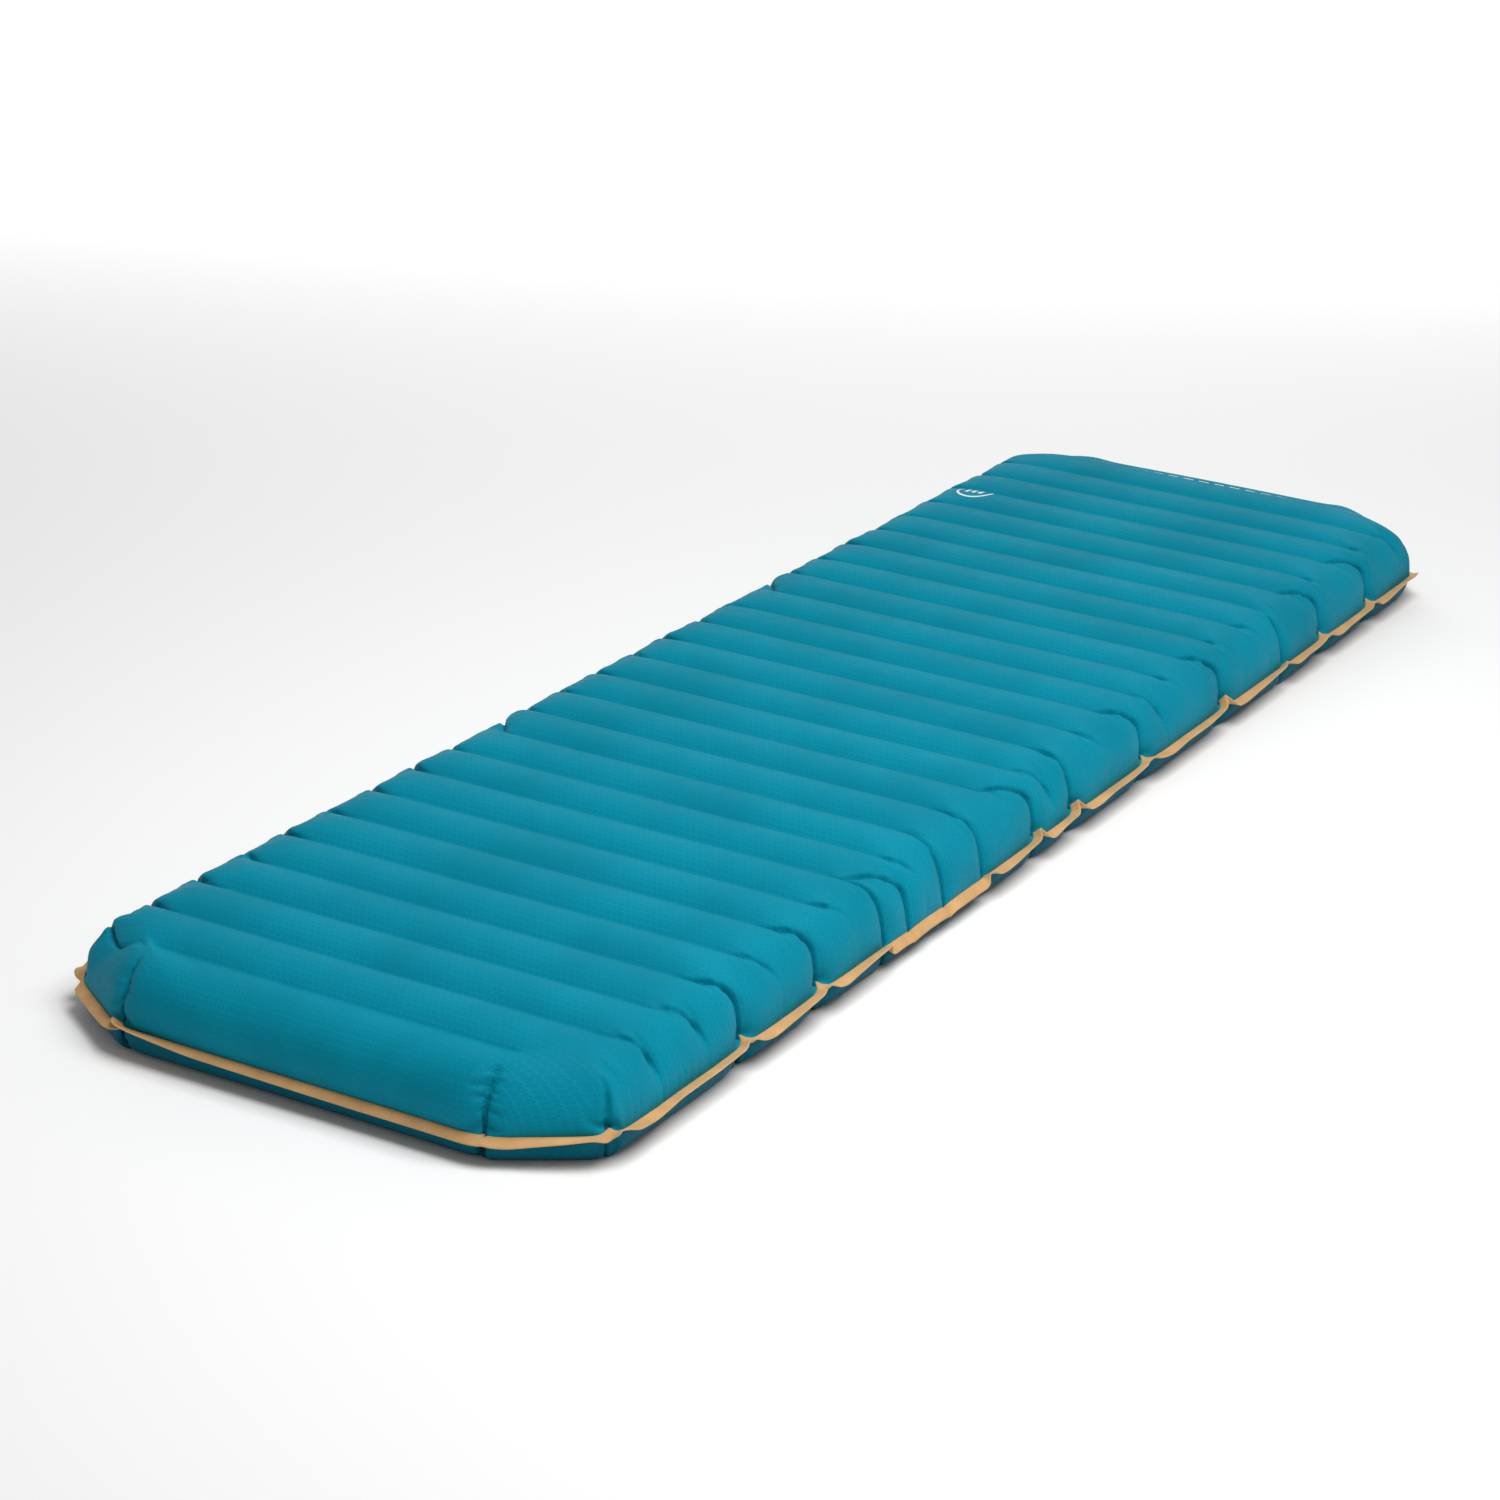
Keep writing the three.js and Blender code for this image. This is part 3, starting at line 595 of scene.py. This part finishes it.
def add_studio():
    world = bpy.data.worlds.new("studio")
    world.use_nodes = True
    sky = world.node_tree.nodes["Background"]
    sky.inputs["Color"].default_value = (1, 1, 1, 1)
    sky.inputs["Strength"].default_value = SKY_STRENGTH
    bpy.context.scene.world = world
    for softbox in SOFTBOXES:
        add_softbox(*softbox)
    bpy.ops.mesh.primitive_plane_add(size=FLOOR_SIZE)
    floor = bpy.context.object
    floor.name = "studio_floor"
    material = bpy.data.materials.new("studio_floor")
    material.use_nodes = True
    shader = material.node_tree.nodes["Principled BSDF"]
    shader.inputs["Base Color"].default_value = FLOOR_COLOUR
    shader.inputs["Roughness"].default_value = FLOOR_ROUGHNESS
    floor.data.materials.append(material)


# ---- Meshes ----
def grid_faces(rows, columns, flip=False):
    """Quads between the points of a grid."""
    faces = []
    for i in range(rows - 1):
        for j in range(columns - 1):
            a, b = i * columns + j, (i + 1) * columns + j
            faces.append((a, b, b + 1, a + 1) if flip else (a, a + 1, b + 1, b))
    return faces


def add_mesh(name, points, faces):
    mesh = bpy.data.meshes.new(name)
    mesh.from_pydata([tuple(map(float, p)) for p in points], [], faces)
    mesh.validate()
    mesh.shade_smooth()
    piece = bpy.data.objects.new(name, mesh)
    bpy.context.scene.collection.objects.link(piece)
    return piece


def apply_modifiers(piece):
    """Bakes the modifiers into the mesh."""
    depsgraph = bpy.context.evaluated_depsgraph_get()
    mesh = bpy.data.meshes.new_from_object(piece.evaluated_get(depsgraph))
    piece.modifiers.clear()
    piece.data = mesh
    mesh.shade_smooth()


# ---- Seam tape ----
TAPE_CELLS = 4
TAPE_SEEN = 0.9 * TAPE_WIDTH
TAPE_THICKNESS = 0.0012
TAPE_SMOOTH = 20  # passes that even out the tape's direction
ANGLE_SMOOTH = 2  # and its angle
TAPE_LOOK = 2  # how many cells from the seam the sheets' angles are measured
TAPE_CLEAR = math.radians(14)  # the tape keeps this angle from both sheets
TAPE_SEED = 11
TAPE_SPREAD = 6.0  # random change of its angle from pleat to pleat, in degrees
# Angle above the horizontal, in degrees, by place between one pinch and the next.
TAPE_LIFTED = ((0, 60), (0.05, 34), (0.12, 0), (0.24, -14), (0.42, 6), (0.7, 14), (0.93, 20), (1, 60))
TAPE_HANGING = ((0, -25), (0.1, -50), (0.5, -55), (0.92, -48), (1, -25))
TAPE_END = ((0, 22), (0.04, 18), (0.12, 14), (0.3, -14), (0.6, -30), (0.95, -32), (1, -22))
TAPE_CHAMFER = ((0, -22), (0.12, -32), (0.5, -28), (0.85, -8), (1, 20))


def even_out(values, passes):
    """Smooths values round a closed loop."""
    for _ in range(passes):
        values = (np.roll(values, 1, axis=0) + 2 * values + np.roll(values, -1, axis=0)) / 4
    return values


def unit(vectors):
    return vectors / (np.linalg.norm(vectors, axis=-1, keepdims=True) + TINY)


def tape_angles(loop):
    """The tape's angle above the horizontal at each point of the loop."""
    marks = sorted(
        (int(np.argmin(np.linalg.norm(loop[:, :2] - place, axis=1))), lift)
        for place, _, lift in pinches()
    )
    noise = np.random.default_rng(TAPE_SEED)
    angles = np.zeros(len(loop))
    for (start, lift), (stop, next_lift) in zip(marks, marks[1:] + marks[:1]):
        count = (stop - start) % len(loop)
        numbers = (start + np.arange(count)) % len(loop)
        keys = TAPE_LIFTED if max(lift, next_lift) > 0 else TAPE_HANGING
        if np.ptp(loop[numbers, 0]) > HALF_WIDTH:
            keys = TAPE_END
        elif np.ptp(loop[numbers, 0]) > CHAMFER_X / 2:
            keys = TAPE_CHAMFER
        at, angle = np.array(keys).T
        angle = angle + noise.normal(0, TAPE_SPREAD, len(angle))
        angles[numbers] = np.interp(np.arange(count) / count, at, angle)
    return np.radians(angles)


def wall_angle(rise, flat):
    """Angle of a sheet above the horizontal, seen from the seam."""
    return np.arctan2(rise[:, 2], np.einsum("ij,ij->i", rise[:, :2], flat))


def tape_grid(upper, lower, smooth):
    """The tape's points, round the pad and from the seam outward."""
    rows, columns = upper.shape[:2]
    i, j = border(rows, columns)
    inner = np.clip(i, TAPE_LOOK, rows - 1 - TAPE_LOOK), np.clip(j, TAPE_LOOK, columns - 1 - TAPE_LOOK)
    seam = (upper[i, j] + lower[i, j]) / 2
    flat = unit(even_out(outward(seam[:, :2]), TAPE_SMOOTH))
    above, below = (wall_angle(sheet[inner] - seam, flat) for sheet in (upper, lower))
    angle = np.clip(tape_angles(smooth[i, j]), below + TAPE_CLEAR, above - TAPE_CLEAR)
    angle = even_out(angle, ANGLE_SMOOTH)
    out = np.concatenate([flat * np.cos(angle)[:, None], np.sin(angle)[:, None]], axis=1)
    rings = [seam + out * (ring / TAPE_CELLS * TAPE_SEEN) for ring in range(TAPE_CELLS + 1)]
    return np.stack(rings, axis=1)


# ---- Materials ----
# Colours are linear.
UPPER_COLOUR = (0.0015, 0.225, 0.325)
LOWER_COLOUR = (0.0015, 0.115, 0.175)
TAPE_COLOUR = (0.70, 0.40, 0.165)
WEB_COLOUR = (0.32, 0.42, 0.45)
PRINT_COLOUR = (0.85, 0.87, 0.87, 1.0)
BODY_COLOUR = (0.017, 0.02, 0.023)
LID_COLOUR = (0.028, 0.036, 0.04)
PIN_COLOUR = (0.15, 0.16, 0.165)
SEAL_COLOUR = (0.2, 0.21, 0.215)
FABRIC_SPECULAR = 0.03
FABRIC_RELIEF = 0.00012
HEX_CELL, HEX_LINE = 0.0062, 0.10
THREAD = 0.0006
TAPE_RIB = 0.0011
TAPE_RELIEF = 0.0001
# Generic marks
BADGE_CENTRE = (-0.189, 0.648)
BADGE_RADIUS = 0.020
BADGE_BAR = (0.004, 0.016)
BADGE_BAR_STEP = 0.008
PRINT_LINE = 0.0026
ROW_Y = HALF_LENGTH - 0.043
ROW_BARS = 10
ROW_BAR = (0.012, 0.016)
ROW_STEP = 0.019
# Sizes of the clouds and grains in the materials, as noise scales
PATCH_SCALE, GLOSS_SCALE, CREPE_SCALE = 9.0, 60.0, 130.0
WORN_SCALE, WEB_SCALE, PLASTIC_SCALE, GRAIN_SCALE = 45.0, 25.0, 60.0, 1800.0


class Shader:
    """A material with a Principled shader, and short ways to add nodes to it."""

    def __init__(self, name, roughness, specular):
        self.material = bpy.data.materials.new(name)
        self.material.use_nodes = True
        self.tree = self.material.node_tree
        self.surface = self.tree.nodes["Principled BSDF"]
        self.set("Roughness", roughness)
        self.set("Specular IOR Level", specular)

    def set(self, name, value):
        self.feed(self.surface.inputs[name], value)

    def feed(self, socket, value):
        if isinstance(value, bpy.types.NodeSocket):
            self.tree.links.new(value, socket)
        else:
            socket.default_value = value

    def node(self, kind, *values, **settings):
        node = self.tree.nodes.new(kind)
        for name, value in settings.items():
            setattr(node, name, value)
        for socket, value in zip(node.inputs, values):
            self.feed(socket, value)
        return node

    def math(self, operation, *values):
        return self.node("ShaderNodeMath", *values, operation=operation).outputs[0]

    def vector(self, operation, *values):
        node = self.node("ShaderNodeVectorMath", *values, operation=operation)
        return node.outputs["Value" if operation in ("LENGTH", "DOT_PRODUCT") else "Vector"]

    def ramp(self, value, low, high, to_low=0.0, to_high=1.0):
        return self.node("ShaderNodeMapRange", value, low, high, to_low, to_high).outputs[0]

    def noise(self, place, scale, detail=2.0):
        node = self.node("ShaderNodeTexNoise")
        self.feed(node.inputs["Vector"], place)
        self.feed(node.inputs["Scale"], scale)
        self.feed(node.inputs["Detail"], detail)
        return node.outputs["Fac"]

    def blend(self, factor, first, second):
        node = self.node("ShaderNodeMix", data_type="RGBA")
        self.feed(node.inputs["Factor"], factor)
        for name, value in (("A", first), ("B", second)):
            socket = [s for s in node.inputs if s.name == name and s.type == "RGBA"][0]
            self.feed(socket, value)
        return [s for s in node.outputs if s.type == "RGBA"][0]

    def bump(self, height, distance):
        node = self.node("ShaderNodeBump")
        self.feed(node.inputs["Height"], height)
        self.feed(node.inputs["Distance"], distance)
        self.set("Normal", node.outputs["Normal"])


def shade(colour, factor=1.0):
    return (*(min(1.0, channel * factor) for channel in colour), 1.0)


def weave(shader, place, thread):
    """Height of a plain weave with one thread per half period, from -1 to 1."""
    turns = shader.vector("MULTIPLY", place, (math.pi / thread, math.pi / thread, 0))
    split = shader.node("ShaderNodeSeparateXYZ", turns)
    waves = [shader.math("SINE", split.outputs[axis]) for axis in ("X", "Y")]
    return shader.math("MULTIPLY", *waves)


def hexagons(shader, place, cell, line):
    """1 on the borders of a honeycomb with cells of the given size, 0 inside the cells."""
    period = (1.0, math.sqrt(3), 1.0)
    half = tuple(v / 2 for v in period)
    at = shader.vector("MULTIPLY", place, (1 / cell, 1 / cell, 0))
    first = shader.vector("SUBTRACT", shader.vector("MODULO", at, period), half)
    second = shader.vector(
        "SUBTRACT", shader.vector("MODULO", shader.vector("ADD", at, half), period), half
    )
    nearer = shader.math(
        "LESS_THAN", shader.vector("LENGTH", first), shader.vector("LENGTH", second)
    )
    both = shader.vector("SUBTRACT", first, second)
    scaled = shader.node("ShaderNodeVectorMath", both, operation="SCALE")
    shader.feed(scaled.inputs["Scale"], nearer)
    inside = shader.vector("ABSOLUTE", shader.vector("ADD", second, scaled.outputs["Vector"]))
    across = shader.node("ShaderNodeSeparateXYZ", inside).outputs["X"]
    slanted = shader.vector("DOT_PRODUCT", inside, (0.5, math.sqrt(3) / 2, 0))
    return shader.ramp(shader.math("MAXIMUM", across, slanted), 0.5 - line, 0.5)


def box_mask(shader, place, centre, size):
    """1 inside a rectangle in plan."""
    away = shader.vector("ABSOLUTE", shader.vector("SUBTRACT", place, (*centre, 0.0)))
    split = shader.node("ShaderNodeSeparateXYZ", away)
    inside = [
        shader.math("LESS_THAN", split.outputs[axis], reach / 2)
        for axis, reach in zip(("X", "Y"), size)
    ]
    return shader.math("MULTIPLY", *inside)


def add_masks(shader, masks):
    total = masks[0]
    for mask in masks[1:]:
        total = shader.math("MAXIMUM", total, mask)
    return total


def printed_marks(shader):
    """Generic print: a ring round three bars at one side, and a row of bars at the head end."""
    place = shader.node("ShaderNodeTexCoord").outputs["Object"]
    offset = shader.vector("SUBTRACT", place, (*BADGE_CENTRE, 0.0))
    flat = shader.vector("MULTIPLY", offset, (1.0, 1.0, 0.0))
    from_ring = shader.math("SUBTRACT", shader.vector("LENGTH", flat), BADGE_RADIUS)
    masks = [shader.math("LESS_THAN", shader.math("ABSOLUTE", from_ring), PRINT_LINE / 2)]
    for step in (-1, 0, 1):
        centre = (BADGE_CENTRE[0] + step * BADGE_BAR_STEP, BADGE_CENTRE[1])
        masks.append(box_mask(shader, place, centre, BADGE_BAR))
    for number in range(ROW_BARS):
        along = (number - (ROW_BARS - 1) / 2) * ROW_STEP
        masks.append(box_mask(shader, place, (along, ROW_Y), ROW_BAR))
    return add_masks(shader, masks)


def coated_fabric(name, colour, marks=False):
    """Coated ripstop: a faint honeycomb of thicker threads in a fine weave, with a soft sheen."""
    shader = Shader(name, 0.5, FABRIC_SPECULAR)
    cloth = shader.node("ShaderNodeUVMap", uv_map="cloth").outputs["UV"]
    grid = hexagons(shader, cloth, HEX_CELL, HEX_LINE)
    patchy = shader.ramp(shader.noise(cloth, PATCH_SCALE), 0.35, 0.65)
    seen = shader.math("MULTIPLY", grid, shader.ramp(patchy, 0.0, 1.0, 0.1, 0.45))
    base = shader.blend(patchy, shade(colour, 0.94), shade(colour, 1.05))
    base = shader.blend(seen, base, shade(colour, 1.4))
    if marks:
        base = shader.blend(printed_marks(shader), base, PRINT_COLOUR)
    shader.set("Base Color", base)
    shader.set("Roughness", shader.ramp(shader.noise(cloth, GLOSS_SCALE), 0.3, 0.7, 0.44, 0.58))
    shader.set("Sheen Weight", 0.03)
    shader.set("Sheen Roughness", 0.4)
    threads = shader.math("MULTIPLY", weave(shader, cloth, THREAD), 0.15)
    creped = shader.math("MULTIPLY", shader.noise(cloth, CREPE_SCALE, 4.0), 0.8)
    height = shader.math("ADD", shader.math("ADD", threads, creped), grid)
    shader.bump(height, FABRIC_RELIEF)
    return shader.material


def tape_fabric():
    """Narrow woven tape: ribs along it and slightly worn patches."""
    shader = Shader("woven_tape", 0.6, 0.15)
    cloth = shader.node("ShaderNodeUVMap", uv_map="cloth").outputs["UV"]
    across = shader.node("ShaderNodeSeparateXYZ", cloth).outputs["Y"]
    ribs = shader.math("SINE", shader.math("MULTIPLY", across, 2 * math.pi / TAPE_RIB))
    worn = shader.ramp(shader.noise(cloth, WORN_SCALE, 3.0), 0.3, 0.7)
    shader.set("Base Color", shader.blend(worn, shade(TAPE_COLOUR, 0.86), shade(TAPE_COLOUR, 1.08)))
    shader.set("Roughness", shader.ramp(worn, 0.0, 1.0, 0.52, 0.68))
    shader.set("Sheen Weight", 0.1)
    height = shader.math("ADD", ribs, weave(shader, cloth, 2 * THREAD))
    shader.bump(height, TAPE_RELIEF)
    return shader.material


def moulded(name, colour, roughness, grain):
    """Moulded plastic or rubber: fine grain, with slightly uneven gloss."""
    shader = Shader(name, roughness, 0.45)
    place = shader.node("ShaderNodeTexCoord").outputs["Object"]
    cloudy = shader.ramp(shader.noise(place, PLASTIC_SCALE), 0.35, 0.65)
    shader.set("Base Color", shader.blend(cloudy, shade(colour, 0.9), shade(colour, 1.1)))
    shader.set("Roughness", shader.ramp(cloudy, 0.0, 1.0, roughness - 0.05, roughness + 0.05))
    shader.bump(shader.noise(place, GRAIN_SCALE, 3.0), grain)
    return shader.material


def web_fabric():
    """The webs' thin uncoated fabric."""
    shader = Shader("web_weave", 0.7, 0.2)
    place = shader.node("ShaderNodeTexCoord").outputs["Object"]
    turned = shader.node("ShaderNodeSeparateXYZ", place)
    flat = shader.node("ShaderNodeCombineXYZ", turned.outputs["X"], turned.outputs["Z"]).outputs[0]
    worn = shader.ramp(shader.noise(place, WEB_SCALE), 0.3, 0.7)
    shader.set("Base Color", shader.blend(worn, shade(WEB_COLOUR, 0.9), shade(WEB_COLOUR, 1.1)))
    shader.bump(weave(shader, flat, 2 * THREAD), FABRIC_RELIEF)
    return shader.material


def finish_nodes():
    """Gives every piece that stays as it is its material."""
    finishes = (
        (("baffle_web",), web_fabric()),
        (("valve_weld_boat", "valve_body"), moulded("valve_plastic", BODY_COLOUR, 0.42, 0.00004)),
        (
            ("deflate_lid", "flap_retainer", "inflate_cap"),
            moulded("lid_plastic", LID_COLOUR, 0.38, 0.00004),
        ),
        (("lid_hinge_pin", "cap_hinge_pin"), moulded("pin_plastic", PIN_COLOUR, 0.3, 0.00001)),
        (
            ("lid_seal_ring", "non_return_flap", "cap_gasket"),
            moulded("silicone", SEAL_COLOUR, 0.6, 0.00003),
        ),
    )
    for starts, material in finishes:
        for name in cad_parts:
            if name.startswith(starts):
                piece = bpy.data.objects[name]
                for slot in piece.material_slots:
                    slot.material = material
                if not piece.material_slots:
                    piece.data.materials.append(material)


# ---- Build ----
def path_along(points):
    """Path length along a row of points."""
    steps = np.linalg.norm(np.diff(points, axis=0), axis=1)
    return np.concatenate([[0], np.cumsum(steps)])


def map_sheet(piece, flat):
    """UVs in metres of cloth, from the lengths along the middle row and column of a grid."""
    rows, columns = flat.shape[:2]
    across = path_along(flat[rows // 2])
    along = path_along(flat[:, columns // 2])
    layer = piece.data.uv_layers.new(name="cloth")
    for loop in piece.data.loops:
        row, column = divmod(loop.vertex_index, columns)
        layer.data[loop.index].uv = (across[column], along[row])


def map_tape(piece, tape):
    """UVs in metres: along the tape and across it."""
    count, rings = tape.shape[:2]
    around = path_along(tape[:, 0])
    layer = piece.data.uv_layers.new(name="cloth")
    for face in piece.data.polygons:
        numbers = [piece.data.loops[k].vertex_index for k in face.loop_indices]
        wraps = max(numbers) - min(numbers) > count
        for k, number in zip(face.loop_indices, numbers):
            section, ring = divmod(number, rings)
            turn = around[-1] if wraps and section == 0 else 0
            layer.data[k].uv = (around[section] + turn, ring * TAPE_SEEN / TAPE_CELLS)


def tape_faces(tape):
    """Quads once round the pad, left out where the valve's boat takes the tape's place."""
    count, rings = tape.shape[:2]
    on_boat = set(BoatRim(tape[:, 0]).points)
    faces = []
    for k in range(count):
        if k in on_boat and (k + 1) % count in on_boat:
            continue
        a, b = k * rings, (k + 1) % count * rings
        faces += [(a + r, a + r + 1, b + r + 1, b + r) for r in range(rings - 1)]
    return faces


def add_sheets(grids, smooth):
    """Both inflated sheets, in place of the plain ones."""
    finishes = (
        ("inflated_top", "top_sheet", "upper_fabric", "upper_ripstop", UPPER_COLOUR),
        ("inflated_bottom", "bottom_sheet", "lower_fabric", "lower_ripstop", LOWER_COLOUR),
    )
    for number, (name, node, slot, cloth, colour) in enumerate(finishes):
        rows, columns = grids[number].shape[:2]
        below = number == 1
        faces = grid_faces(rows, columns, flip=below)
        piece = add_mesh(name, grids[number].reshape(-1, 3), faces)
        map_sheet(piece, refine(smooth[number]))
        piece.data.materials.append(coated_fabric(cloth, colour, marks=not below))
        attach(piece, "pad")
        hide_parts(node)


def add_tape(sheets, smooth):
    """The ruffled tape along the simulated seam."""
    tape = tape_grid(*sheets, smooth)
    piece = add_mesh("ruffled_tape", tape.reshape(-1, 3), tape_faces(tape))
    map_tape(piece, tape)
    piece.data.materials.append(tape_fabric())
    solid = piece.modifiers.new("thickness", "SOLIDIFY")
    solid.thickness = TAPE_THICKNESS
    solid.offset = 0
    round_off = piece.modifiers.new("smooth", "SUBSURF")
    round_off.levels = round_off.render_levels = 1
    apply_modifiers(piece)
    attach(piece, "pad")
    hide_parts("seam_tape")


bpy.context.scene.view_settings.view_transform = "Standard"
add_camera()
add_studio()
finish_nodes()
sheets, grids = simulate(STEPS)
smooth = smooth_sheets()
add_sheets(grids, smooth)
add_tape(sheets, smooth[0])
